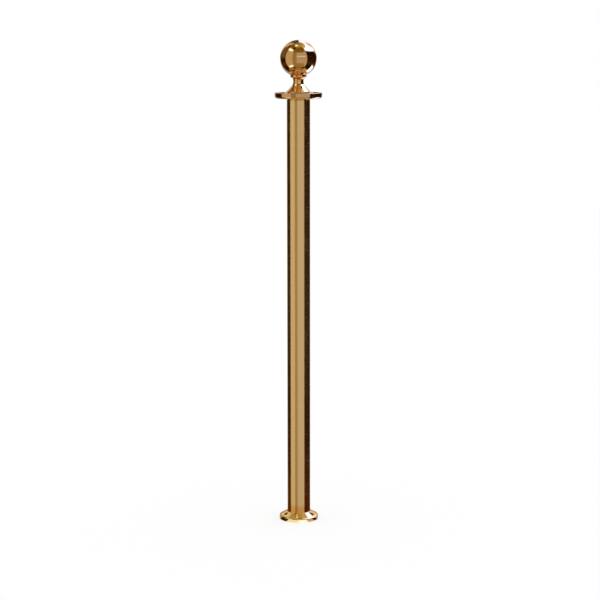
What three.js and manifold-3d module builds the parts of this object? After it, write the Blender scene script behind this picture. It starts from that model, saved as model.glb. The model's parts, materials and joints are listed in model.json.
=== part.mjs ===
// Rope barrier stanchion, screwed to the floor by a small conical flange: a brass tube, a slotted rope plate
// that turns on the plug in the tube's top, and a ball finial that screws down over the plate.
// Millimetres, +Z up, front towards -Y. The origin is the centre of the underside, which stands on the floor.
// A steel tie rod up the middle clamps flange, tube and top plug together.
// Threads are plain cylinders, with the play below all round.
import * as THREE from "three";
import { mergeVertices } from "three/addons/utils/BufferGeometryUtils.js";
import Module from "manifold-3d";

const wasm = await Module();
wasm.setup();

// ---- driving dimensions -------------------------------------------------------------------------------
const FINE = 40; // sides of the large turned pieces
const COARSE = 20; // sides of the small turned pieces
const PLAY = 0.3; // gap round a piece that sits inside another

const TUBE = { radius: 23.25, wall: 1.5, bottom: 11, top: 857 };
const FLANGE = { radius: 39.5, rimTop: 6.5, coneBase: 37.25, coneBaseZ: 8.5, lipRadius: 25, top: 15.75 };
const NUT_RECESS = { radius: 11.5, depth: 8.25 };
const FIXING = { count: 3, circle: 30.5, hole: 2, head: 3.6, headSeat: 9.5 };
const M8 = { bore: 4.15, acrossFlats: 13, nut: 4, springRadius: 7, spring: 2 };
const BASE_WASHER = { radius: 8, thickness: 1.5 };
const M10 = { bore: 5.15, acrossFlats: 17, nut: 5, springRadius: 9, spring: 2 };
const SPRING_SPLIT = 1.2; // width of the split in a spring washer
const TIE_ROD = { radius: 3.9, bottom: 0.5, top: 849.5, chamfer: 0.5 };
const BASE_PLUG = { height: 14, chamfer: 1 };
const TOP_PLUG = { length: 24, lip: 2, lipRadius: 23, spigotRadius: 8 };
const SLIP_WASHER = { bore: 8.4, radius: 21, thickness: 1 };
const PLATE = { radius: 47.25, thickness: 11.25, bore: 8.4, lowerRound: 5, upperRound: 1 };
const SLOT = { count: 4, middle: 34.25, halfWidth: 5.25, halfAngle: THREE.MathUtils.degToRad(25) };

// Heights in these six are from the finial's underside.
const NECK = { footEdge: 1.5, flare: 14, waist: 10.1, waistHeight: 21.5, top: 28.25, topRadius: 12.25 };
const FOOT_SLOPE = 42; // degrees between the side of the neck's conical foot and upright
const LOCK_RECESS = { radius: 10.75, depth: M10.nut + M10.spring };
const STUD = { radius: 4.85, bottom: -15, top: 43, chamfer: 0.75 };
const COLLAR = { bead: 16.25, round: 3.1, underside: 12.75, seat: 15.75 };
const BALL = { radius: 36.25, wall: 1.5, centre: 66.5, hole: 8 };
const BOSS = { spigot: 7.6, radius: 11, holeTop: 44, top: 46.5 };

const PLATE_Z = TUBE.top + TOP_PLUG.lip + SLIP_WASHER.thickness; // underside of the rope plate
const FINIAL_Z = PLATE_Z + PLATE.thickness + SLIP_WASHER.thickness; // underside of the finial
const DISH_RADIUS = BALL.radius + PLAY; // of the seat in the collar that the ball rests in
const DISH_BOTTOM = BALL.centre - Math.sqrt(DISH_RADIUS ** 2 - BALL.hole ** 2);
const BALL_INSIDE = BALL.radius - BALL.wall;
const BOSS_SHOULDER = BALL.centre - Math.sqrt(BALL_INSIDE ** 2 - BOSS.radius ** 2) + PLAY;

// ---- materials ----------------------------------------------------------------------------------------
const gold = new THREE.MeshStandardMaterial({ color: 0xd9a95b, roughness: 0.12, metalness: 1 });
const satinGold = new THREE.MeshStandardMaterial({ color: 0xcfa365, roughness: 0.22, metalness: 1 });
const steel = new THREE.MeshStandardMaterial({ color: 0xb4b6b8, roughness: 0.35, metalness: 1 });
const nylon = new THREE.MeshStandardMaterial({ color: 0xe9e4d8, roughness: 0.55, metalness: 0 });

// ---- helpers ------------------------------------------------------------------------------------------
// Points [radius, height] on an arc in the plane of a profile. Angles are in degrees from the radius axis.
function arc(radius, height, size, from, to, steps) {
  return Array.from({ length: steps + 1 }, (_, i) => {
    const angle = THREE.MathUtils.degToRad(from + ((to - from) * i) / steps);
    return [radius + size * Math.cos(angle), height + size * Math.sin(angle)];
  });
}

// The angle in degrees, below the radius axis, at which a circle passes this distance from the turning axis.
function angleBelow(distance, size) {
  return -THREE.MathUtils.radToDeg(Math.acos(distance / size));
}

// Turns a closed profile, run anticlockwise in (radius, height), about +Z.
function turned(profile, sides = FINE) {
  return turnedSolid([...profile, profile[0]], sides);
}

// Turns a profile that starts and ends on the axis, or on the same point.
function turnedSolid(profile, sides = FINE) {
  const points = profile.map(([r, z]) => new THREE.Vector2(r, z));
  return new THREE.LatheGeometry(points, sides).rotateX(Math.PI / 2);
}

// A flat ring, such as a washer.
function ring(bore, radius, height, sides = COARSE) {
  return turned([[bore, 0], [radius, 0], [radius, height], [bore, height]], sides);
}

// A plain rod with both ends chamfered.
function rod(radius, height, chamfer) {
  const end = radius - chamfer;
  const side = [[end, 0], [radius, chamfer], [radius, height - chamfer], [end, height]];
  return turnedSolid([[0, 0], ...side, [0, height]], COARSE);
}

function hexNut({ acrossFlats, bore, nut }) {
  const corner = acrossFlats / Math.sqrt(3);
  const corners = Array.from({ length: 6 }, (_, i) => {
    const angle = (i * Math.PI) / 3;
    return new THREE.Vector2(corner * Math.cos(angle), corner * Math.sin(angle));
  });
  const shape = new THREE.Shape(corners);
  shape.holes.push(new THREE.Path().absarc(0, 0, bore, 0, 2 * Math.PI, true));
  return new THREE.ExtrudeGeometry(shape, { depth: nut, bevelEnabled: false, curveSegments: COARSE / 2 });
}

function toSolid(geometry) {
  const bare = geometry.clone();
  bare.deleteAttribute("normal");
  bare.deleteAttribute("uv");
  const merged = mergeVertices(bare, 1e-4);
  const vertProperties = merged.getAttribute("position").array;
  const triVerts = new Uint32Array(merged.index.array);
  return new wasm.Manifold(new wasm.Mesh({ numProp: 3, vertProperties, triVerts }));
}

function toGeometry(solid) {
  const { vertProperties, triVerts } = solid.getMesh();
  const geometry = new THREE.BufferGeometry();
  geometry.setAttribute("position", new THREE.BufferAttribute(vertProperties, 3));
  geometry.setIndex(new THREE.BufferAttribute(triVerts, 1));
  geometry.computeVertexNormals();
  return geometry;
}

function cut(geometry, cutters) {
  return toGeometry(cutters.reduce((solid, cutter) => solid.subtract(toSolid(cutter)), toSolid(geometry)));
}

// A ring split on its +X side.
function springWasher({ bore, springRadius, spring }) {
  const split = new THREE.BoxGeometry(springRadius, SPRING_SPLIT, 3 * spring).translate(springRadius, 0, 0);
  return cut(ring(bore, springRadius, spring), [split]);
}

// A named mesh at a height in its group.
function piece(name, geometry, material, z = 0) {
  const mesh = new THREE.Mesh(geometry, material.clone());
  mesh.name = name;
  mesh.position.z = z;
  return mesh;
}

// ---- base: the flange and what clamps the tube to it --------------------------------------------------
// A screw hole straight down through the cone, with a countersunk seat and room above it for the head.
function fixingHole(angle) {
  const { hole, head, headSeat, circle } = FIXING;
  const seatBottom = headSeat - (head - hole);
  const above = FLANGE.top + 1;
  const profile = [[0, -1], [hole, -1], [hole, seatBottom], [head, headSeat], [head, above], [0, above]];
  return turnedSolid(profile, COARSE).translate(circle * Math.cos(angle), circle * Math.sin(angle), 0);
}

// A level rim with a rounded shoulder, a cone up to a lip round the tube, a socket for the tube, and below
// the socket's floor a recess for the nut.
function floorFlange() {
  const { radius, rimTop, coneBase, coneBaseZ, lipRadius, top } = FLANGE;
  const footChamfer = 0.75;
  const socket = TUBE.radius + PLAY;
  const rodHole = M8.bore + PLAY;
  const profile = [
    [NUT_RECESS.radius, 0],
    [radius - footChamfer, 0],
    [radius, footChamfer],
    ...arc(coneBase, rimTop, radius - coneBase, 0, 45, 3),
    [coneBase, coneBaseZ],
    [lipRadius, top],
    [socket, top],
    [socket, TUBE.bottom],
    [rodHole, TUBE.bottom],
    [rodHole, NUT_RECESS.depth],
    [NUT_RECESS.radius, NUT_RECESS.depth],
  ];
  const holes = Array.from({ length: FIXING.count }, (_, i) => {
    return fixingHole(Math.PI / 2 + (i * 2 * Math.PI) / FIXING.count);
  });
  return cut(turned(profile), holes);
}

// Keeps the rod in the middle of the tube's foot.
function centringPlug() {
  const radius = TUBE.radius - TUBE.wall - PLAY;
  const { height, chamfer } = BASE_PLUG;
  return turned([
    [M8.bore, 0],
    [radius, 0],
    [radius, height - chamfer],
    [radius - chamfer, height],
    [M8.bore, height],
  ]);
}

function base() {
  const group = new THREE.Group();
  const washerZ = NUT_RECESS.depth - BASE_WASHER.thickness;
  const springZ = washerZ - M8.spring;
  const nutZ = springZ - M8.nut;
  group.add(
    piece("floor_flange", floorFlange(), gold),
    piece("base_nut", hexNut(M8), steel, nutZ),
    piece("base_spring_washer", springWasher(M8), steel, springZ),
    piece("base_washer", ring(M8.bore, BASE_WASHER.radius, BASE_WASHER.thickness), steel, washerZ),
    piece("base_centring_plug", centringPlug(), nylon, TUBE.bottom),
  );
  return group;
}

// ---- column: the tube, the tie rod and the plug that closes the top -----------------------------------
// The lip rests on the tube and the plate turns on the spigot. The tie rod screws in from below, the finial's
// stud from above. Heights are from the tube's top end.
function topPlug() {
  const { length, lip, lipRadius, spigotRadius } = TOP_PLUG;
  const inTube = TUBE.radius - TUBE.wall - PLAY;
  const spigotTop = FINIAL_Z - PLAY - TUBE.top;
  const rodHoleTop = TIE_ROD.top + PLAY - TUBE.top;
  return turned([
    [M8.bore, -length],
    [inTube, -length],
    [inTube, 0],
    [lipRadius, 0],
    [lipRadius, lip],
    [spigotRadius, lip],
    [spigotRadius, spigotTop],
    [M10.bore, spigotTop],
    [M10.bore, rodHoleTop],
    [M8.bore, rodHoleTop],
  ]);
}

function column() {
  const group = new THREE.Group();
  const tube = ring(TUBE.radius - TUBE.wall, TUBE.radius, TUBE.top - TUBE.bottom, FINE);
  const tieRod = rod(TIE_ROD.radius, TIE_ROD.top - TIE_ROD.bottom, TIE_ROD.chamfer);
  const jamNutZ = TUBE.top - TOP_PLUG.length - M8.nut;
  group.add(
    piece("post_tube", tube, satinGold, TUBE.bottom),
    piece("tie_rod", tieRod, steel, TIE_ROD.bottom),
    piece("tie_rod_jam_nut", hexNut(M8), steel, jamNutZ),
    piece("top_plug", topPlug(), gold, TUBE.top),
  );
  return group;
}

// ---- rope plate, between two slip washers -------------------------------------------------------------
// A kidney-shaped slot through the plate, centred on an angle, that the hook on a rope's end drops into.
function hookSlot(angle) {
  const { middle, halfWidth, halfAngle } = SLOT;
  const endX = middle * Math.cos(halfAngle);
  const endY = middle * Math.sin(halfAngle);
  const shape = new THREE.Shape();
  shape.absarc(0, 0, middle + halfWidth, -halfAngle, halfAngle, false);
  shape.absarc(endX, endY, halfWidth, halfAngle, halfAngle + Math.PI, false);
  shape.absarc(0, 0, middle - halfWidth, halfAngle, -halfAngle, true);
  shape.absarc(endX, -endY, halfWidth, Math.PI - halfAngle, 2 * Math.PI - halfAngle, false);
  const depth = PLATE.thickness + 2;
  const slot = new THREE.ExtrudeGeometry(shape, { depth, bevelEnabled: false, curveSegments: 8 });
  return slot.translate(0, 0, -1).rotateZ(angle);
}

function ropePlate() {
  const { radius, thickness, bore, lowerRound, upperRound } = PLATE;
  const profile = [
    [bore, 0],
    ...arc(radius - lowerRound, lowerRound, lowerRound, -90, 0, 4),
    ...arc(radius - upperRound, thickness - upperRound, upperRound, 0, 90, 3),
    [bore, thickness],
  ];
  const slots = Array.from({ length: SLOT.count }, (_, i) => hookSlot((i * 2 * Math.PI) / SLOT.count));
  return cut(turned(profile), slots);
}

function plateStack() {
  const group = new THREE.Group();
  const { bore, radius, thickness } = SLIP_WASHER;
  const washer = ring(bore, radius, thickness, FINE);
  group.position.z = PLATE_Z;
  group.add(
    piece("lower_slip_washer", washer, nylon, -thickness),
    piece("rope_plate", ropePlate(), gold),
    piece("upper_slip_washer", washer, nylon, PLATE.thickness),
  );
  return group;
}

// ---- finial: neck, collar and hollow ball on one stud -------------------------------------------------
// A conical foot with a recess under it for the lock nut, a waist and a slightly wider top.
function finialNeck() {
  const { footEdge, flare, waist, waistHeight, top, topRadius } = NECK;
  const footArc = arc(waist + flare, waistHeight, flare, 180 + FOOT_SLOPE, 180, 6);
  const [coneTop, coneTopZ] = footArc[0];
  const foot = coneTop + (coneTopZ - footEdge) * Math.tan(THREE.MathUtils.degToRad(FOOT_SLOPE));
  const rise = top - waistHeight;
  const widening = topRadius - waist;
  const topFlare = (rise ** 2 + widening ** 2) / (2 * widening);
  const topSpread = THREE.MathUtils.radToDeg(Math.asin(rise / topFlare));
  const topArc = arc(waist + topFlare, waistHeight, topFlare, 180, 180 - topSpread, 3);
  const studHole = M10.bore + PLAY;
  return turned([
    [LOCK_RECESS.radius, 0],
    [foot, 0],
    [foot, footEdge],
    ...footArc,
    ...topArc.slice(1),
    [studHole, top],
    [studHole, LOCK_RECESS.depth],
    [LOCK_RECESS.radius, LOCK_RECESS.depth],
  ]);
}

// The ring between neck and ball: a rounded bead outside and a dished seat that the ball rests in.
function ballCollar() {
  const { bead, round, underside, seat } = COLLAR;
  const studHole = M10.bore + PLAY;
  return turned([
    [studHole, NECK.top],
    [underside, NECK.top],
    ...arc(bead - round, NECK.top + 0.4 + round, round, -80, 20, 5),
    ...arc(0, BALL.centre, DISH_RADIUS, angleBelow(seat, DISH_RADIUS), angleBelow(BALL.hole, DISH_RADIUS), 3),
    [studHole, DISH_BOTTOM],
  ]);
}

// The ball's lower half, about the ball's centre, with a hole for the boss.
function lowerHalf() {
  return turned([
    ...arc(0, 0, BALL.radius, angleBelow(BALL.hole, BALL.radius), 0, 8),
    ...arc(0, 0, BALL_INSIDE, 0, angleBelow(BALL.hole, BALL_INSIDE), 8),
  ]);
}

// The ball's upper half, about the ball's centre.
function upperHalf() {
  const inside = arc(0, 0, BALL_INSIDE, 90, 0, 8).slice(1);
  const outside = arc(0, 0, BALL.radius, 0, 90, 8).slice(0, -1);
  return turnedSolid([[0, BALL_INSIDE], ...inside, ...outside, [0, BALL.radius]]);
}

// A threaded boss soldered into the ball, with a blind hole for the stud.
function ballBoss() {
  const { spigot, radius, holeTop, top } = BOSS;
  const bottom = DISH_BOTTOM + PLAY;
  return turnedSolid([
    [0, holeTop],
    [M10.bore, holeTop],
    [M10.bore, bottom],
    [spigot, bottom],
    [spigot, BOSS_SHOULDER],
    [radius, BOSS_SHOULDER],
    [radius, top],
    [0, top],
  ], COARSE);
}

function finial() {
  const group = new THREE.Group();
  const stud = rod(STUD.radius, STUD.top - STUD.bottom, STUD.chamfer);
  group.position.z = FINIAL_Z;
  group.add(
    piece("finial_neck", finialNeck(), gold),
    piece("finial_stud", stud, steel, STUD.bottom),
    piece("finial_lock_nut", hexNut(M10), steel),
    piece("finial_spring_washer", springWasher(M10), steel, M10.nut),
    piece("ball_collar", ballCollar(), gold),
    piece("ball_boss", ballBoss(), gold),
    piece("ball_lower_half", lowerHalf(), gold, BALL.centre),
    piece("ball_upper_half", upperHalf(), gold, BALL.centre),
  );
  return group;
}

// ---- the stanchion ------------------------------------------------------------------------------------
const stanchion = new THREE.Group();
stanchion.add(base(), column(), plateStack(), finial());

export default stanchion;
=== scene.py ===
import json
import math

import bmesh
import bpy
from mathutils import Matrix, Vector


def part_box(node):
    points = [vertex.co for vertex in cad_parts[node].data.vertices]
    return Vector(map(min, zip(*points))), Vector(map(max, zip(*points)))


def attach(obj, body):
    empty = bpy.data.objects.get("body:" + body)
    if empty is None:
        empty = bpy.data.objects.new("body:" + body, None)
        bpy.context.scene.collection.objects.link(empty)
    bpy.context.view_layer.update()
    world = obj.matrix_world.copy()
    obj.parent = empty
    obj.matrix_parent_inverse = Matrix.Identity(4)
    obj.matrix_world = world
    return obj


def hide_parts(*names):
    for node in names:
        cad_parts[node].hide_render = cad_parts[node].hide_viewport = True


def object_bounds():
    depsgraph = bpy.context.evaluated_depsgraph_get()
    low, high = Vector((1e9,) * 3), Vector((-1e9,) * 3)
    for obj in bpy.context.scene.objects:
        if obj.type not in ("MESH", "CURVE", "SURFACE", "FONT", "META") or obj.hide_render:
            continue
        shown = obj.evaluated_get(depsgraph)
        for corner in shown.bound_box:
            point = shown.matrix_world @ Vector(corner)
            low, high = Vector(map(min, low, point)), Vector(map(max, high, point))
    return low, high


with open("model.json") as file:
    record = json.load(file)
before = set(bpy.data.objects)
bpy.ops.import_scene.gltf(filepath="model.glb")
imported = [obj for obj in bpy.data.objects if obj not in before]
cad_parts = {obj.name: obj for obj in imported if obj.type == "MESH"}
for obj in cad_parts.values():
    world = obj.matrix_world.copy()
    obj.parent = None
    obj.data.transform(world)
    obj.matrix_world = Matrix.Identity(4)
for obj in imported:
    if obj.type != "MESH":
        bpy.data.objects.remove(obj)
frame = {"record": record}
CAD_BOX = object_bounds()

MM = 0.001
TURN = 2 * math.pi
TINY = 1e-6  # anything smaller counts as nothing
LARGE = 192  # sides of the large turned pieces
SMALL = 96  # sides of the small turned pieces
ROD_SIDES = 48
HOLE_SIDES = 64
SHARP = math.radians(35)  # edges that bend more than this are real edges


class Extent:
    """A CAD node's radius, underside and top, in millimetres."""

    def __init__(self, node):
        low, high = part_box(node)
        self.radius = high.x / MM
        self.bottom = low.z / MM
        self.top = high.z / MM


FLANGE = Extent("floor_flange")
TUBE = Extent("post_tube")
PLATE = Extent("rope_plate")
NECK = Extent("finial_neck")
STUD = Extent("finial_stud")
COLLAR = Extent("ball_collar")
BALL = Extent("ball_upper_half")
BOSS = Extent("ball_boss")
TIE_ROD = Extent("tie_rod")
TOP_PLUG = Extent("top_plug")
BASE_PLUG = Extent("base_centring_plug")
LOCK_SPRING = Extent("finial_spring_washer")
SLIP_WASHER = Extent("lower_slip_washer")

# What the frame's boxes don't say, in millimetres.
PLAY = 0.3  # gap round a piece that sits inside another
TUBE_WALL = 1.5
PLATE_BORE = 8.4  # of the rope plate and the washers above and below it
SPIGOT = 8.0  # radius of what they turn on
M8 = {"bore": 4.15, "depth": 0.7, "pitch": 1.25}
M10 = {"bore": 5.15, "depth": 0.85, "pitch": 1.5}


# ---- outlines ----------------------------------------------------------------------------------------------
def arc(radius, height, size, start, end, steps=12):
    """Points on an arc about (radius, height), angles in degrees from the radius axis."""
    angles = [math.radians(start + (end - start) * i / steps) for i in range(steps + 1)]
    return [(radius + size * math.cos(a), height + size * math.sin(a)) for a in angles]


def rounded_corner(before, corner, after, rounding, steps):
    """Points on the arc that rounds a corner between its two neighbours."""
    back = (before - corner).normalized()
    on = (after - corner).normalized()
    half = back.angle(on) / 2
    centre = corner + (back + on).normalized() * rounding / math.sin(half)
    reach = rounding / math.tan(half)
    first = corner + back * reach - centre
    last = corner + on * reach - centre
    start = math.atan2(first.y, first.x)
    sweep = (math.atan2(last.y, last.x) - start + math.pi) % TURN - math.pi
    angles = [start + sweep * i / steps for i in range(steps + 1)]
    return [(centre.x + rounding * math.cos(a), centre.y + rounding * math.sin(a)) for a in angles]


def outline(corners, steps=5):
    """A closed outline from corners (radius, height), with a third number where a corner is rounded."""
    points = []
    flat = [Vector(corner[:2]) for corner in corners]
    for i, corner in enumerate(corners):
        if len(corner) < 3:
            points.append(tuple(corner))
        else:
            before, after = flat[i - 1], flat[(i + 1) % len(flat)]
            points += rounded_corner(before, flat[i], after, corner[2], steps)
    return points


def ring_outline(bore, radius, bottom, top, rounding=0.2):
    """A rectangle with rounded corners, as a washer or a tube has it."""
    corners = [(bore, bottom), (radius, bottom), (radius, top), (bore, top)]
    return outline([(*corner, rounding) for corner in corners])


def angle_below(distance, size):
    """The angle in degrees, below the radius axis, at which a circle is this far from the turning axis."""
    return -math.degrees(math.acos(distance / size))


# ---- meshes ------------------------------------------------------------------------------------------------
def swept(outline_at, sides, start=0.0, end=TURN):
    """A closed bmesh swept about +Z. outline_at(angle) gives the outline; points on the axis make poles."""
    bm = bmesh.new()
    whole = end - start > TURN - TINY
    poles = {}
    columns = []
    for i in range(sides if whole else sides + 1):
        angle = start + (end - start) * i / sides
        column = []
        for k, (radius, height) in enumerate(outline_at(angle)):
            if radius > TINY:
                point = Vector((radius * math.cos(angle), radius * math.sin(angle), height))
                column.append(bm.verts.new(point * MM))
            else:
                if k not in poles:
                    poles[k] = bm.verts.new((0, 0, height * MM))
                column.append(poles[k])
        columns.append(column)
    if whole:
        columns.append(columns[0])
    for left, right in zip(columns, columns[1:]):
        for k, vert in enumerate(left):
            after = (k + 1) % len(left)
            quad = [vert, right[k], right[after], left[after]]
            corners = [v for n, v in enumerate(quad) if v not in quad[:n]]
            if len(corners) > 2:
                bm.faces.new(corners)
    if not whole:
        bm.faces.new(columns[0])
        bm.faces.new(reversed(columns[-1]))
    return bm


def turned(points, sides=LARGE):
    """A closed bmesh with the same outline all round."""
    return swept(lambda angle: points, sides)


def to_object(name, bm, material):
    mesh = bpy.data.meshes.new(name)
    bm.to_mesh(mesh)
    bm.free()
    mesh.materials.append(material)
    obj = bpy.data.objects.new(name, mesh)
    bpy.context.scene.collection.objects.link(obj)
    return obj


def cut(obj, cutters):
    """Takes the cutters out of obj, then removes them. The walls that a cutter leaves keep its material."""
    for cutter in cutters:
        boolean = obj.modifiers.new("cut", "BOOLEAN")
        boolean.operation = "DIFFERENCE"
        boolean.solver = "EXACT"
        boolean.material_mode = "TRANSFER"
        boolean.object = cutter
    evaluated = obj.evaluated_get(bpy.context.evaluated_depsgraph_get())
    mesh = bpy.data.meshes.new_from_object(evaluated)
    obj.modifiers.clear()
    obj.data = mesh
    for cutter in cutters:
        bpy.data.objects.remove(cutter)
    return obj


def soften_edges(obj, width, segments=3):
    """Rounds the edges that a cutter left. An outline's own roundings bend too little in a step to count."""
    bevel = obj.modifiers.new("edges", "BEVEL")
    bevel.limit_method = "ANGLE"
    bevel.angle_limit = SHARP
    bevel.width = width * MM
    bevel.segments = segments
    bevel.use_clamp_overlap = False


def smooth(obj):
    """Smooth shading that keeps flat faces flat and sharp edges sharp."""
    for polygon in obj.data.polygons:
        polygon.use_smooth = True
    obj.data.set_sharp_from_angle(angle=SHARP)
    normals = obj.modifiers.new("normals", "WEIGHTED_NORMAL")
    normals.keep_sharp = True


def body_of(node):
    """The name of the CAD body that a node belongs to."""
    bodies = frame["record"]["behaviour"]["bodies"]
    return next(body for body, nodes in bodies.items() if node in nodes)


def finish_piece(obj, node):
    """Smooths a piece and puts it in the place of its CAD node."""
    smooth(obj)
    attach(obj, body_of(node))
    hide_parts(node)
    return obj


def piece(node, bm, material):
    """The finished piece that stands for a CAD node, from its bmesh."""
    return finish_piece(to_object("fine_" + node, bm, material), node)


# ---- node trees --------------------------------------------------------------------------------------------
def add(tree, kind, inputs=None, **settings):
    """Adds a node. An input is another node's socket, or a value."""
    node = tree.nodes.new(kind)
    for name, value in settings.items():
        setattr(node, name, value)
    for name, value in (inputs or {}).items():
        if isinstance(value, bpy.types.NodeSocket):
            tree.links.new(value, node.inputs[name])
        else:
            node.inputs[name].default_value = value
    return node


def maths(tree, operation, *values):
    """One step of arithmetic. Each value is a number or another node's socket."""
    return add(tree, "ShaderNodeMath", dict(enumerate(values)), operation=operation).outputs[0]


def ramp(tree, value, low, high, out_low, out_high, smoothed=False):
    """Maps value from low..high to out_low..out_high."""
    inputs = {"Value": value, "From Min": low, "From Max": high, "To Min": out_low, "To Max": out_high}
    kind = "SMOOTHSTEP" if smoothed else "LINEAR"
    return add(tree, "ShaderNodeMapRange", inputs, interpolation_type=kind).outputs["Result"]


def mix_colour(tree, share, first, second):
    """The first colour where share is 0, the second where it is 1."""
    node = add(tree, "ShaderNodeMix", data_type="RGBA")
    sockets = {socket.identifier: socket for socket in node.inputs}
    for name, value in (("Factor_Float", share), ("A_Color", first), ("B_Color", second)):
        if isinstance(value, bpy.types.NodeSocket):
            tree.links.new(value, sockets[name])
        else:
            sockets[name].default_value = value if name == "Factor_Float" else (*value, 1)
    return next(socket for socket in node.outputs if socket.identifier == "Result_Color")


def noise(tree, vector, scale, detail=3.0, roughness=0.5):
    """Smooth noise from 0 to 1, with scale lumps to a metre where the vector is a place."""
    inputs = {"Vector": vector, "Scale": scale, "Detail": detail, "Roughness": roughness}
    return add(tree, "ShaderNodeTexNoise", inputs).outputs[0]


def place(tree):
    """Where a point is on its piece, in metres."""
    return add(tree, "ShaderNodeTexCoord").outputs["Object"]


def turning_lines(tree, spacing):
    """Fine marks that run round the axis, as a lathe or a polishing wheel leaves them."""
    xyz = add(tree, "ShaderNodeSeparateXYZ", {"Vector": place(tree)})
    across = add(tree, "ShaderNodeCombineXYZ", {"X": xyz.outputs["X"], "Y": xyz.outputs["Y"]})
    radius = add(tree, "ShaderNodeVectorMath", {0: across.outputs[0]}, operation="LENGTH").outputs["Value"]
    section = add(tree, "ShaderNodeCombineXYZ", {"X": radius, "Y": xyz.outputs["Z"]}).outputs[0]
    return noise(tree, section, 1 / spacing, 2.0)


def lengthwise_grain(tree, spacing, length):
    """Fine streaks that run up and down."""
    scale = (1 / spacing, 1 / spacing, 1 / length)
    stretched = add(tree, "ShaderNodeMapping", {"Vector": place(tree), "Scale": scale}).outputs[0]
    return noise(tree, stretched, 1.0)


def bump(tree, height, depth, normal=None):
    """A bumped normal. The height goes from 0 to 1 and the depth is in metres."""
    inputs = {"Height": height, "Distance": depth, "Strength": 1.0}
    if normal:
        inputs["Normal"] = normal
    return add(tree, "ShaderNodeBump", inputs).outputs["Normal"]


def new_material(name):
    material = bpy.data.materials.new(name)
    material.use_nodes = True
    tree = material.node_tree
    tree.nodes.clear()
    return material, tree


def shade(tree, inputs):
    """Ends a material in one principled shader."""
    surface = add(tree, "ShaderNodeBsdfPrincipled", inputs)
    output = add(tree, "ShaderNodeOutputMaterial")
    tree.links.new(surface.outputs[0], output.inputs["Surface"])


# ---- materials ---------------------------------------------------------------------------------------------
DEEP_GOLD = (0.84, 0.54, 0.23)  # of the ball and the plate
WARM_GOLD = (0.97, 0.61, 0.24)  # of the neck and the collar
PALE_GOLD = (0.97, 0.71, 0.33)  # of the tube and the flange
TINT_SPREAD = 0.03  # how much darker or lighter than its colour a metal gets
HAND = 0.045  # size of the smudges that hands leave, in metres
SMUDGES = (0.42, 0.72)  # a noise below the first is clean metal, and above the second a full smudge
MOST = (0.3, 0.7)  # most of what a noise gives lies between these
MIDDLE = (0.35, 0.65)  # and the middle of it between these


def tinted(colour, share):
    return tuple(channel * share for channel in colour)


def varied_tint(tree, colour, variation):
    """The colour, a little darker and lighter as variation goes from 0 to 1."""
    return mix_colour(tree, variation, tinted(colour, 1 - TINT_SPREAD), tinted(colour, 1 + TINT_SPREAD))


def smudged_roughness(tree, clean, smudged):
    """Roughness between clean metal and metal that hands have dulled."""
    smudges = noise(tree, place(tree), 2 / HAND, 6.0, 0.65)
    return ramp(tree, smudges, *SMUDGES, clean, smudged, smoothed=True)


def polished_gold(name, colour, clean, smudged, waviness=0.0):
    """Mirror-polished, lacquered brass with faint turning marks, and for a casting a faint waviness."""
    material, tree = new_material(name)
    normal = bump(tree, turning_lines(tree, 0.0006), 0.000001)
    if waviness:
        normal = bump(tree, noise(tree, place(tree), 180.0, 2.0), waviness, normal)
    shade(tree, {
        "Base Color": varied_tint(tree, colour, noise(tree, place(tree), 1 / HAND, 2.0)),
        "Metallic": 1.0,
        "Roughness": smudged_roughness(tree, clean, smudged),
        "Normal": normal,
    })
    return material


def satin_gold(name):
    """The tube: polished along its length, so that fine streaks run up it."""
    material, tree = new_material(name)
    grain = lengthwise_grain(tree, 0.0005, 0.05)
    streaks = lengthwise_grain(tree, 0.004, 0.3)
    rougher = ramp(tree, streaks, *MOST, -0.02, 0.03)
    roughness = maths(tree, "ADD", smudged_roughness(tree, 0.11, 0.17), rougher)
    shade(tree, {
        "Base Color": varied_tint(tree, PALE_GOLD, ramp(tree, streaks, *MOST, 0, 1)),
        "Metallic": 1.0,
        "Roughness": roughness,
        "Normal": bump(tree, grain, 0.0000025),
    })
    return material


def zinc_steel(name):
    """Zinc-plated steel: cloudy, from bluish to a warmer grey."""
    material, tree = new_material(name)
    bluish, warm = (0.55, 0.56, 0.60), (0.68, 0.67, 0.64)
    cloud = ramp(tree, noise(tree, place(tree), 350.0), *MIDDLE, 0, 1)
    shade(tree, {
        "Base Color": mix_colour(tree, cloud, bluish, warm),
        "Metallic": 1.0,
        "Roughness": ramp(tree, noise(tree, place(tree), 900.0, 4.0), *MOST, 0.22, 0.42),
        "Normal": bump(tree, noise(tree, place(tree), 4000.0, 2.0), 0.000006),
    })
    return material


def nylon(name):
    """Natural nylon: off-white, dull, with the marks of the lathe."""
    material, tree = new_material(name)
    yellowed, white = (0.80, 0.77, 0.69), (0.88, 0.86, 0.80)
    cloud = noise(tree, place(tree), 120.0)
    shade(tree, {
        "Base Color": mix_colour(tree, cloud, yellowed, white),
        "Roughness": ramp(tree, cloud, *MOST, 0.42, 0.56),
        "Normal": bump(tree, turning_lines(tree, 0.0004), 0.00001),
    })
    return material


def drilled_brass(name):
    """The walls of the screw holes: bare drilled metal, dull and darkened by old polish."""
    material, tree = new_material(name)
    dark, bare = (0.20, 0.14, 0.05), (0.34, 0.24, 0.10)
    grime = ramp(tree, noise(tree, place(tree), 600.0, 4.0), *MIDDLE, 0, 1)
    shade(tree, {
        "Base Color": mix_colour(tree, grime, dark, bare),
        "Metallic": 1.0,
        "Roughness": ramp(tree, grime, 0, 1, 0.35, 0.55),
        "Normal": bump(tree, noise(tree, place(tree), 2500.0, 2.0), 0.00001),
    })
    return material


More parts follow.
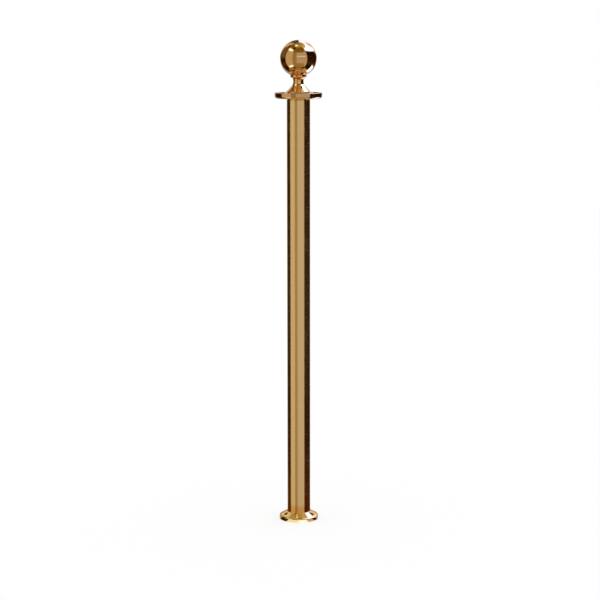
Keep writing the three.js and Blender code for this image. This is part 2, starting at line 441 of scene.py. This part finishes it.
MIRROR = polished_gold("mirror_gold", DEEP_GOLD, 0.045, 0.10)
TURNED = polished_gold("turned_gold", WARM_GOLD, 0.05, 0.10)
CAST = polished_gold("cast_gold", PALE_GOLD, 0.06, 0.12, waviness=0.000004)
SATIN = satin_gold("satin_gold")
STEEL = zinc_steel("zinc_steel")
NYLON = nylon("natural_nylon")
DRILLED = drilled_brass("drilled_brass")


# ---- base --------------------------------------------------------------------------------------------------
OVERCUT = 1  # how far a cutter stands out of the piece that it cuts
FIXING = {"count": 3, "circle": 30.5, "hole": 2.0, "head": 3.6, "head_seat": 9.5}
NUT_RECESS = {"radius": 11.5, "depth": 8.25}
NUT_FACE = 0.95  # radius of a nut's round face, in halves of its width across flats
NUT_CHAMFER = math.radians(30)
SPRING_SPLIT = 1.2  # width of the split in a spring washer


def fixing_cutter(index):
    """One countersunk screw hole, as a solid to take out. The first is at the back."""
    hole, head, seat = FIXING["hole"], FIXING["head"], FIXING["head_seat"]
    seat_bottom = seat - (head - hole)
    below, above = -OVERCUT, FLANGE.top + OVERCUT
    points = [(0, below), (hole, below), (hole, seat_bottom), (head, seat), (head, above), (0, above)]
    cutter = to_object("cutter", turned(points, HOLE_SIDES), DRILLED)
    angle = TURN / 4 + index * TURN / FIXING["count"]
    cutter.location = Vector((math.cos(angle), math.sin(angle), 0)) * FIXING["circle"] * MM
    return cutter


def floor_flange():
    """An upright rim with a rounded shoulder, and a cone up to a lip round the tube's socket."""
    rim, rim_top = FLANGE.radius, 7.9
    shoulder = 2.4
    cone, cone_bottom = rim - shoulder, 8.5
    lip = TUBE.radius + 1.75
    socket = TUBE.radius + PLAY
    rod_hole = M8["bore"] + PLAY
    recess, depth = NUT_RECESS["radius"], NUT_RECESS["depth"]
    points = outline([
        (recess, 0, 0.4),
        (rim, 0, 0.8),
        (rim, rim_top, shoulder),
        (cone, cone_bottom, 2.5),
        (lip, FLANGE.top, 0.8),
        (socket, FLANGE.top, 0.35),
        (socket, TUBE.bottom),
        (rod_hole, TUBE.bottom, 0.3),
        (rod_hole, depth, 0.3),
        (recess, depth),
    ])
    flange = to_object("fine_floor_flange", turned(points), CAST)
    cut(flange, [fixing_cutter(i) for i in range(FIXING["count"])])
    soften_edges(flange, width=0.3)
    return finish_piece(flange, "floor_flange")


def hex_nut(node, thread):
    """A hexagon nut, its corners taken off on both faces."""
    size = Extent(node)
    half_side = TURN / 12  # the angle from a corner to the middle of a side
    flat = size.radius * math.cos(half_side)
    face = NUT_FACE * flat
    bore = thread["bore"]
    lead = thread["depth"]

    def nut_outline(angle):
        from_corner = (angle + half_side) % (2 * half_side) - half_side
        edge = flat / math.cos(half_side - abs(from_corner))
        fall = (edge - face) * math.tan(NUT_CHAMFER)
        return [
            (bore, size.bottom + lead),
            (bore + lead, size.bottom),
            (face, size.bottom),
            (edge, size.bottom + fall),
            (edge, size.top - fall),
            (face, size.top),
            (bore + lead, size.top),
            (bore, size.top - lead),
        ]

    return piece(node, swept(nut_outline, SMALL), STEEL)


def spring_washer(node, bore):
    """A ring split on its +X side."""
    size = Extent(node)
    section = ring_outline(bore, size.radius, size.bottom, size.top)
    half_split = SPRING_SPLIT / 2 / size.radius
    return piece(node, swept(lambda angle: section, SMALL, half_split, TURN - half_split), STEEL)


def flat_washer(node, bore, material):
    size = Extent(node)
    points = ring_outline(bore, size.radius, size.bottom, size.top)
    return piece(node, turned(points), material)


def centring_plug():
    """Keeps the tie rod in the middle of the tube's foot."""
    chamfer = 1
    points = outline([
        (M8["bore"], BASE_PLUG.bottom),
        (BASE_PLUG.radius, BASE_PLUG.bottom, 0.3),
        (BASE_PLUG.radius, BASE_PLUG.top - chamfer),
        (BASE_PLUG.radius - chamfer, BASE_PLUG.top, 0.3),
        (M8["bore"], BASE_PLUG.top, 0.3),
    ])
    return piece("base_centring_plug", turned(points), NYLON)


# ---- column ------------------------------------------------------------------------------------------------
CREST = 0.125  # flat at a thread's crest, in pitches
ROOT = 0.25  # flat at its root, in pitches
ROWS_PER_PITCH = 12
FOOT_THREAD = 20  # length of the thread at the tie rod's foot
HEAD_THREAD = 30  # and at its top
TIE_ROD_THREADS = [
    (TIE_ROD.bottom, TIE_ROD.bottom + FOOT_THREAD),
    (TIE_ROD.top - HEAD_THREAD, TIE_ROD.top),
]


def threaded_rod(node, thread, spans):
    """A rod with chamfered ends and a right-hand thread along each span (bottom, top)."""
    size = Extent(node)
    pitch = thread["pitch"]
    chamfer = 0.9
    heights = [size.bottom]
    for low, high in spans:
        count = round((high - low) / pitch * ROWS_PER_PITCH)
        heights += [low + (high - low) * i / count for i in range(count + 1)]
    heights = sorted(set(heights + [size.top]))

    def threaded(height):
        """How fully the thread is cut at a height, 0 to 1. It runs out over the last pitch of a span."""
        inside = [min(height - low, high - height) for low, high in spans]
        return max(0.0, min(1.0, max(inside) / pitch))

    def rod_outline(angle):
        points = [(0.0, size.bottom)]
        for height in heights:
            turn = (height / pitch - angle / TURN) % 1.0
            from_crest = abs(2 * turn - 1)
            groove = max(0.0, min(1.0, (from_crest - CREST) / (1 - CREST - ROOT)))
            full = size.radius - thread["depth"] * groove * threaded(height)
            end_gap = min(height - size.bottom, size.top - height)
            points.append((min(full, size.radius - chamfer + end_gap), height))
        points.append((0.0, size.top))
        return points

    return piece(node, swept(rod_outline, ROD_SIDES), STEEL)


def post_tube():
    points = ring_outline(TUBE.radius - TUBE_WALL, TUBE.radius, TUBE.bottom, TUBE.top, 0.3)
    return piece("post_tube", turned(points), SATIN)


def top_plug():
    """Closes the tube. Its spigot carries the rope plate, and its bores take the tie rod and the stud."""
    in_tube = TUBE.radius - TUBE_WALL - PLAY
    lip_top = SLIP_WASHER.bottom
    rod_hole_top = TIE_ROD.top + PLAY
    points = outline([
        (M8["bore"], TOP_PLUG.bottom),
        (in_tube, TOP_PLUG.bottom, 0.5),
        (in_tube, TUBE.top),
        (TOP_PLUG.radius, TUBE.top, 0.3),
        (TOP_PLUG.radius, lip_top, 0.4),
        (SPIGOT, lip_top),
        (SPIGOT, TOP_PLUG.top, 0.5),
        (M10["bore"] + M10["depth"], TOP_PLUG.top),
        (M10["bore"], TOP_PLUG.top - M10["depth"]),
        (M10["bore"], rod_hole_top),
        (M8["bore"], rod_hole_top),
    ])
    return piece("top_plug", turned(points), MIRROR)


# ---- rope plate --------------------------------------------------------------------------------------------
SLOT = {"count": 4, "middle": 34.25, "half_width": 5.25, "half_angle": 25.0}
SIDE_STEPS = 24  # along a slot's long sides
END_STEPS = 16  # round its ends


def slot_cutter(index):
    """A kidney-shaped slot for a rope's hook, as a solid to take out."""
    middle, half_width, half_angle = SLOT["middle"], SLOT["half_width"], SLOT["half_angle"]
    end_x = middle * math.cos(math.radians(half_angle))
    end_y = middle * math.sin(math.radians(half_angle))
    edge = arc(0, 0, middle + half_width, -half_angle, half_angle, SIDE_STEPS)
    edge += arc(end_x, end_y, half_width, half_angle, half_angle + 180, END_STEPS)[1:]
    edge += arc(0, 0, middle - half_width, half_angle, -half_angle, SIDE_STEPS)[1:]
    edge += arc(end_x, -end_y, half_width, 180 - half_angle, 360 - half_angle, END_STEPS)[1:-1]
    bm = bmesh.new()
    low = [bm.verts.new(Vector((x, y, PLATE.bottom - OVERCUT)) * MM) for x, y in edge]
    high = [bm.verts.new(Vector((x, y, PLATE.top + OVERCUT)) * MM) for x, y in edge]
    bm.faces.new(reversed(low))
    bm.faces.new(high)
    for i in range(len(edge)):
        bm.faces.new((low[i - 1], low[i], high[i], high[i - 1]))
    cutter = to_object("cutter", bm, MIRROR)
    cutter.rotation_euler.z = index * TURN / SLOT["count"]
    return cutter


def rope_plate():
    """A thick plate with a well rounded lower edge and a crisp upper one."""
    points = outline([
        (PLATE_BORE, PLATE.bottom, 0.4),
        (PLATE.radius, PLATE.bottom, 5.0),
        (PLATE.radius, PLATE.top, 0.6),
        (PLATE_BORE, PLATE.top, 0.4),
    ], steps=8)
    plate = to_object("fine_rope_plate", turned(points), MIRROR)
    cut(plate, [slot_cutter(i) for i in range(SLOT["count"])])
    soften_edges(plate, width=0.8, segments=4)
    return finish_piece(plate, "rope_plate")


# ---- finial ------------------------------------------------------------------------------------------------
STUD_HOLE = M10["bore"] + PLAY
BALL_CENTRE = BALL.bottom
BALL_RADIUS = BALL.radius
BALL_WALL = 1.5
BALL_INSIDE = BALL_RADIUS - BALL_WALL
BALL_HOLE = 8.0
OUTER_STEPS = 64  # from the ball's equator to its pole, outside
INNER_STEPS = 48  # and inside
SEAM = 0.15  # chamfer of the halves' outer edges where they meet


def finial_neck():
    """A conical foot, a waist and a slightly wider top. The recess under the foot holds the lock nut."""
    foot_edge = 1.5
    slope = 42  # degrees between the side of the foot and upright
    waist = 10.1
    waist_height = NECK.bottom + 21.5
    flare = 14
    top_radius = 12.25
    recess, recess_top = 10.75, LOCK_SPRING.top
    rise = NECK.top - waist_height
    widening = top_radius - waist
    top_flare = (rise**2 + widening**2) / (2 * widening)
    top_spread = math.degrees(math.asin(rise / top_flare))
    points = outline([
        (recess, NECK.bottom, 0.3),
        (NECK.radius, NECK.bottom, 0.3),
        (NECK.radius, NECK.bottom + foot_edge, 0.7),
        *arc(waist + flare, waist_height, flare, 180 + slope, 180, 32),
        *arc(waist + top_flare, waist_height, top_flare, 180, 180 - top_spread, 12)[1:],
        (STUD_HOLE, NECK.top),
        (STUD_HOLE, recess_top),
        (recess, recess_top),
    ])
    return piece("finial_neck", turned(points), TURNED)


def ball_collar():
    """The rounded ring that the ball sits on, dished on top."""
    underside = 12.75
    bead_round = 3.1
    bead_bottom = COLLAR.bottom + 0.4
    seat = 15.75
    dish = BALL_RADIUS + PLAY
    bead = arc(COLLAR.radius - bead_round, bead_bottom + bead_round, bead_round, -80, 20, 20)
    seat_arc = arc(0, BALL_CENTRE, dish, angle_below(seat, dish), angle_below(BALL_HOLE, dish), 8)
    dish_bottom = BALL_CENTRE - math.sqrt(dish**2 - BALL_HOLE**2)
    points = outline([
        (STUD_HOLE, COLLAR.bottom),
        (underside, COLLAR.bottom),
        *bead,
        *seat_arc,
        (STUD_HOLE, dish_bottom),
    ])
    return piece("ball_collar", turned(points), TURNED)


def ball_half(node, sign):
    """Half of the hollow ball: sign 1 is the upper half, and -1 the lower, which has a hole for the boss."""
    seam = math.degrees(SEAM / BALL_RADIUS)
    if sign > 0:
        outside = arc(0, BALL_CENTRE, BALL_RADIUS, seam, 90, OUTER_STEPS)
        inside = arc(0, BALL_CENTRE, BALL_INSIDE, 90, 0, INNER_STEPS)
        points = [(BALL_RADIUS - SEAM, BALL_CENTRE), *outside, *inside]
    else:
        outside = arc(0, BALL_CENTRE, BALL_RADIUS, angle_below(BALL_HOLE, BALL_RADIUS), -seam, OUTER_STEPS)
        inside = arc(0, BALL_CENTRE, BALL_INSIDE, 0, angle_below(BALL_HOLE, BALL_INSIDE), INNER_STEPS)
        points = [*outside, (BALL_RADIUS - SEAM, BALL_CENTRE), *inside]
    return piece(node, turned(points), MIRROR)


def ball_boss():
    """The boss inside the ball that the stud screws into, with a blind hole."""
    spigot = 7.6
    cap = 2.5  # over the blind hole
    shoulder = BALL_CENTRE - math.sqrt(BALL_INSIDE**2 - BOSS.radius**2) + PLAY
    hole_top = BOSS.top - cap
    points = outline([
        (0, hole_top),
        (M10["bore"], hole_top),
        (M10["bore"], BOSS.bottom + M10["depth"]),
        (M10["bore"] + M10["depth"], BOSS.bottom),
        (spigot, BOSS.bottom, 0.3),
        (spigot, shoulder),
        (BOSS.radius, shoulder, 0.4),
        (BOSS.radius, BOSS.top, 0.6),
        (0, BOSS.top),
    ])
    return piece("ball_boss", turned(points, SMALL), MIRROR)


# ---- the stanchion -----------------------------------------------------------------------------------------
def stanchion():
    floor_flange()
    hex_nut("base_nut", M8)
    spring_washer("base_spring_washer", M8["bore"])
    flat_washer("base_washer", M8["bore"], STEEL)
    centring_plug()
    post_tube()
    threaded_rod("tie_rod", M8, TIE_ROD_THREADS)
    hex_nut("tie_rod_jam_nut", M8)
    top_plug()
    flat_washer("lower_slip_washer", PLATE_BORE, NYLON)
    rope_plate()
    flat_washer("upper_slip_washer", PLATE_BORE, NYLON)
    finial_neck()
    threaded_rod("finial_stud", M10, [(STUD.bottom, STUD.top)])
    hex_nut("finial_lock_nut", M10)
    spring_washer("finial_spring_washer", M10["bore"])
    ball_collar()
    ball_boss()
    ball_half("ball_lower_half", -1)
    ball_half("ball_upper_half", 1)


# ---- studio ------------------------------------------------------------------------------------------------
# Soft boxes and dark flags all round, which only mirror reflections see. Each is ((azimuth from, to),
# (elevation from, to), soft edge, colour), in degrees. Azimuth 0 is the camera's side and 90 is the object's
# right. A later one lies over an earlier one. A fifth number is the slope of the lower edge, which is then at
# its given elevation in the middle.
FLOOR_LIGHT = 1.045  # what makes the pale floor as white as the backdrop
DARK = (0.022, 0.008, 0.0005)
WHITE = (1, 1, 1)
LAMP = (1.5, 1.9, 2.5)
COOL_LAMP = (1.5, 1.7, 3.6)
TAN = (0.74, 0.60, 0.42)
STUDIO = [
    # straight down, and the dim sides and back of the room
    ((-180, 180), (-98, -64), 8, (0.55, 0.50, 0.42)),
    ((-196, -90), (2, 46), 12, (0.16, 0.11, 0.05)),
    ((60, 150), (-30, -14.8), 1.6, (0.070, 0.020, 0.002)),
    ((-180, -86), (-30, -14.8), 1.6, (0.085, 0.028, 0.002)),
    ((152, 214), (-60, -1), 3, (0.42, 0.36, 0.28)),
    ((170, 190), (-5, 7), 4, (0.56, 0.46, 0.32)),
    ((-160, -60), (48, 70), 14, (0.20, 0.12, 0.04)),
    ((-160, -50), (-64, -50), 10, (0.36, 0.27, 0.09)),
    ((58, 150), (-66, -54), 8, (0.50, 0.42, 0.24)),
    ((56, 160), (58, 74), 10, (0.70, 0.60, 0.42)),
    # the panels in front, with a bright streak across the right one and shade above and below
    ((-88, 58), (-50, 54), 4, (0.346, 0.257, 0.141)),
    ((-88, -38), (-44, 50), 6, (0.57, 0.50, 0.41)),
    ((-12, 57), (-40, 42), 5, (0.512, 0.458, 0.456)),
    ((-8, 46), (11, 15), 3, (1.10, 1.05, 1.20)),
    ((-36, 46), (38, 70), 12, (0.22, 0.13, 0.025)),
    ((-30, 40), (-58, -28), 14, (0.38, 0.25, 0.11)),
    # two small lamps on the left, high and low, the ceiling, and a lamp in it
    ((-94, -50), (41, 53), 6, LAMP),
    ((-80, -42), (-48, -38), 6, LAMP),
    ((-180, 180), (72, 98), 12, (0.50, 0.38, 0.12)),
    ((-124, -50), (76.5, 92), 4, (1.5, 1.9, 2.4)),
    # the back of the room, high up and lower down
    ((150, 210), (60, 80), 14, (0.30, 0.23, 0.12)),
    ((216, 234), (54, 74), 6, (0.40, 0.31, 0.17)),
    ((126, 144), (54, 74), 6, (0.47, 0.37, 0.245)),
    ((194, 212), (8, 30), 6, (0.70, 0.60, 0.42)),
    ((206, 224), (28, 56), 6, (0.74, 0.66, 0.46)),
    # a cool lamp behind on the right, with two panels in front of it
    ((148, 178), (8, 36), 6, COOL_LAMP),
    ((134, 178), (16, 58), 8, COOL_LAMP),
    ((141, 158), (24, 44), 5, TAN),
    ((152, 174), (4, 25), 5, TAN),
    # the main light on the right, and light from low down on the right and behind
    ((62, 137), (30.5, 58), 6, (1.9, 2.8, 5.6), -0.34),
    ((138, 188), (-52, -20), 6, (0.80, 0.95, 1.70)),
    ((112, 140), (-52, -24), 6, (1.7, 2.5, 5.0)),
    ((-196, -140), (-52, -24), 8, (0.35, 0.38, 0.50)),
]


def azimuth_of(tree, xyz):
    """The azimuth of a direction or a place in radians, 0 towards the camera."""
    towards_camera = maths(tree, "MULTIPLY", xyz.outputs["Y"], -1.0)
    return maths(tree, "ARCTAN2", xyz.outputs["X"], towards_camera)


def soft_window(tree, value, low, high, edge, wraps):
    """1 between low and high, 0 outside, with a soft edge of this width. The three are in degrees."""
    middle = (low + high) / 2
    from_middle = maths(tree, "SUBTRACT", value, math.radians(middle))
    if wraps:
        from_middle = maths(tree, "WRAP", from_middle, math.pi, -math.pi)
    distance = maths(tree, "ABSOLUTE", from_middle)
    half = (high - low) / 2
    inner, outer = math.radians(half - edge / 2), math.radians(half + edge / 2)
    return maths(tree, "SUBTRACT", 1.0, ramp(tree, distance, inner, outer, 0, 1, smoothed=True))


def sloping_window(tree, azimuth, elevation, azimuths, elevations, edge, slope):
    """1 between a lower edge that slopes with the azimuth and a level upper edge, 0 outside."""
    low, high = elevations
    half = math.radians(edge / 2)
    from_middle = maths(tree, "SUBTRACT", azimuth, math.radians(sum(azimuths) / 2))
    levelled = maths(tree, "SUBTRACT", elevation, maths(tree, "MULTIPLY", from_middle, slope))
    above = ramp(tree, levelled, math.radians(low) - half, math.radians(low) + half, 0, 1, smoothed=True)
    below = ramp(tree, elevation, math.radians(high) - half, math.radians(high) + half, 1, 0, smoothed=True)
    return maths(tree, "MULTIPLY", above, below)


def window_share(tree, azimuth, elevation, azimuths, elevations, edge, slope):
    """How fully one of the studio's windows fills a direction, 0 to 1."""
    if slope:
        level = sloping_window(tree, azimuth, elevation, azimuths, elevations, edge, slope)
    else:
        level = soft_window(tree, elevation, *elevations, edge, wraps=False)
    goes_all_round = azimuths[1] - azimuths[0] == 360
    if goes_all_round:
        return level
    return maths(tree, "MULTIPLY", soft_window(tree, azimuth, *azimuths, edge, wraps=True), level)


def studio_light():
    """What the metal mirrors is the studio; the camera and matt surfaces see even white."""
    world = bpy.data.worlds.new("studio")
    world.use_nodes = True
    world.cycles.sampling_method = "NONE"
    tree = world.node_tree
    tree.nodes.clear()
    direction = add(tree, "ShaderNodeTexCoord").outputs["Generated"]
    xyz = add(tree, "ShaderNodeSeparateXYZ", {"Vector": direction})
    azimuth = azimuth_of(tree, xyz)
    elevation = maths(tree, "ARCSINE", xyz.outputs["Z"])
    colour = add(tree, "ShaderNodeRGB").outputs[0]
    colour.default_value = (*DARK, 1)
    for azimuths, elevations, edge, tint, *slopes in STUDIO:
        share = window_share(tree, azimuth, elevation, azimuths, elevations, edge, sum(slopes))
        colour = mix_colour(tree, share, colour, tint)
    ray = add(tree, "ShaderNodeLightPath").outputs
    plain = maths(tree, "MAXIMUM", ray["Is Camera Ray"], ray["Is Diffuse Ray"])
    seen = mix_colour(tree, plain, colour, WHITE)
    lift = ramp(tree, ray["Is Diffuse Ray"], 0, 1, 1.0, FLOOR_LIGHT)
    background = add(tree, "ShaderNodeBackground", {"Color": seen, "Strength": lift})
    output = add(tree, "ShaderNodeOutputWorld")
    tree.links.new(background.outputs[0], output.inputs["Surface"])
    bpy.context.scene.world = world


# ---- floor -------------------------------------------------------------------------------------------------
FLOOR_HALF = 6.0  # half the width of the floor, in metres
FLOOR_SQUARES = 8  # along each side
NEAR_FLOOR = (1.45, 1.75)  # where the painted light by the flange, which only metal mirrors see, fades out, in flange radii
PAINTED_REFLECTION_REACH = 3.2  # how far a painted warm reflection of the gold tints the studio that mirrors see through the floor, in flange radii
# Painted light on the floor, which only metal mirrors see: a painted warm reflection of the gold, a glowing
# painted highlight in front, dimmer painted light beside it and painted shade at the sides.
PAINTED_GOLD_REFLECTION = (0.95, 0.70, 0.42)
PAINTED_HIGHLIGHT = (1.25, 1.4, 2.1)
PAINTED_DIM_BESIDE = (0.60, 0.50, 0.34)
PAINTED_SHADE = (0.03, 0.015, 0.004)
IN_FRONT = (-43, 31, 6)  # azimuth from, to and soft edge in degrees, as in the next three
BRIGHTEST = (0, 34, 10)
LEFT_SHADE = (-84, -40, 6)
RIGHT_SHADE = (57, 78, 6)
EVEN = 0.65  # how far the floor is evened out to white, which keeps the shadow of the post faint


def painted_light_by_flange(tree, azimuth):
    """Painted light that mirrors see by the flange: a glowing painted highlight in front, painted shade at
    the sides, dimmer elsewhere.
    """
    in_front = soft_window(tree, azimuth, *IN_FRONT, wraps=True)
    brightest = soft_window(tree, azimuth, *BRIGHTEST, wraps=True)
    left_shade = soft_window(tree, azimuth, *LEFT_SHADE, wraps=True)
    right_shade = soft_window(tree, azimuth, *RIGHT_SHADE, wraps=True)
    # painted shade at the sides and dimmer painted light elsewhere, with a glowing painted highlight in front
    painted_shading = mix_colour(tree, maths(tree, "ADD", left_shade, right_shade), PAINTED_DIM_BESIDE, PAINTED_SHADE)
    front = mix_colour(tree, brightest, WHITE, PAINTED_HIGHLIGHT)
    return mix_colour(tree, in_front, painted_shading, front)


def floor_paint():
    """Pale paper, as white as its light. Metal mirrors see painted light on its near part, and the studio
    through the rest tinted by a painted warm reflection of the gold.
    """
    material, tree = new_material("pale_floor_painted_light")
    pale, paler = (0.955,) * 3, (0.965,) * 3
    mottle = mix_colour(tree, noise(tree, place(tree), 3.0, 2.0), pale, paler)
    paper = add(tree, "ShaderNodeBsdfDiffuse", {"Color": mottle})
    xyz = add(tree, "ShaderNodeSeparateXYZ", {"Vector": place(tree)})
    mirrored = add(tree, "ShaderNodeLightPath").outputs["Is Glossy Ray"]
    # mirrors see the glowing painted light by the flange, and the camera sees plain white
    shown = mix_colour(tree, mirrored, WHITE, painted_light_by_flange(tree, azimuth_of(tree, xyz)))
    lit = add(tree, "ShaderNodeEmission", {"Color": shown, "Strength": 1.0})
    evened = add(tree, "ShaderNodeMixShader", {0: ramp(tree, mirrored, 0, 1, EVEN, 1.0)})
    tree.links.new(paper.outputs[0], evened.inputs[1])
    tree.links.new(lit.outputs[0], evened.inputs[2])

    distance = add(tree, "ShaderNodeVectorMath", {0: place(tree)}, operation="LENGTH").outputs["Value"]
    fade_start, fade_end = (share * FLANGE.radius * MM for share in NEAR_FLOOR)
    close = ramp(tree, distance, fade_start, fade_end, 1, 0, smoothed=True)
    # a painted warm reflection of the gold, through which mirrors see the studio near the flange
    warm = maths(tree, "LESS_THAN", distance, PAINTED_REFLECTION_REACH * FLANGE.radius * MM)
    painted_reflection_tint = mix_colour(tree, warm, WHITE, PAINTED_GOLD_REFLECTION)
    see_through = add(tree, "ShaderNodeBsdfTransparent", {"Color": painted_reflection_tint})
    clear = maths(tree, "MULTIPLY", mirrored, maths(tree, "SUBTRACT", 1.0, close))
    surface = add(tree, "ShaderNodeMixShader", {0: clear})
    tree.links.new(evened.outputs[0], surface.inputs[1])
    tree.links.new(see_through.outputs[0], surface.inputs[2])
    output = add(tree, "ShaderNodeOutputMaterial")
    tree.links.new(surface.outputs[0], output.inputs["Surface"])
    return material


def floor():
    bm = bmesh.new()
    bmesh.ops.create_grid(bm, x_segments=FLOOR_SQUARES, y_segments=FLOOR_SQUARES, size=FLOOR_HALF)
    obj = to_object("floor", bm, floor_paint())


# ---- camera ------------------------------------------------------------------------------------------------
DISTANCE = 3.666  # this and the next two are in heights of the post
HEIGHT = 1.060
ASIDE = 0.0028
LENS = 107.45  # in millimetres
PITCH = 9.203  # this and the next are in degrees
ROLL = -0.055


def camera():
    """A long lens a little higher than the ball, looking slightly down."""
    low, high = CAD_BOX
    tall = high.z - low.z
    data = bpy.data.cameras.new("camera")
    data.lens = LENS
    obj = bpy.data.objects.new("camera", data)
    obj.location = (ASIDE * tall, -DISTANCE * tall, HEIGHT * tall)
    obj.rotation_euler = (math.radians(90 - PITCH), 0, 0)
    obj.rotation_euler.rotate_axis("Z", math.radians(ROLL))
    bpy.context.scene.collection.objects.link(obj)
    bpy.context.scene.camera = obj


stanchion()
floor()
studio_light()
camera()
bpy.context.scene.view_settings.view_transform = "Standard"
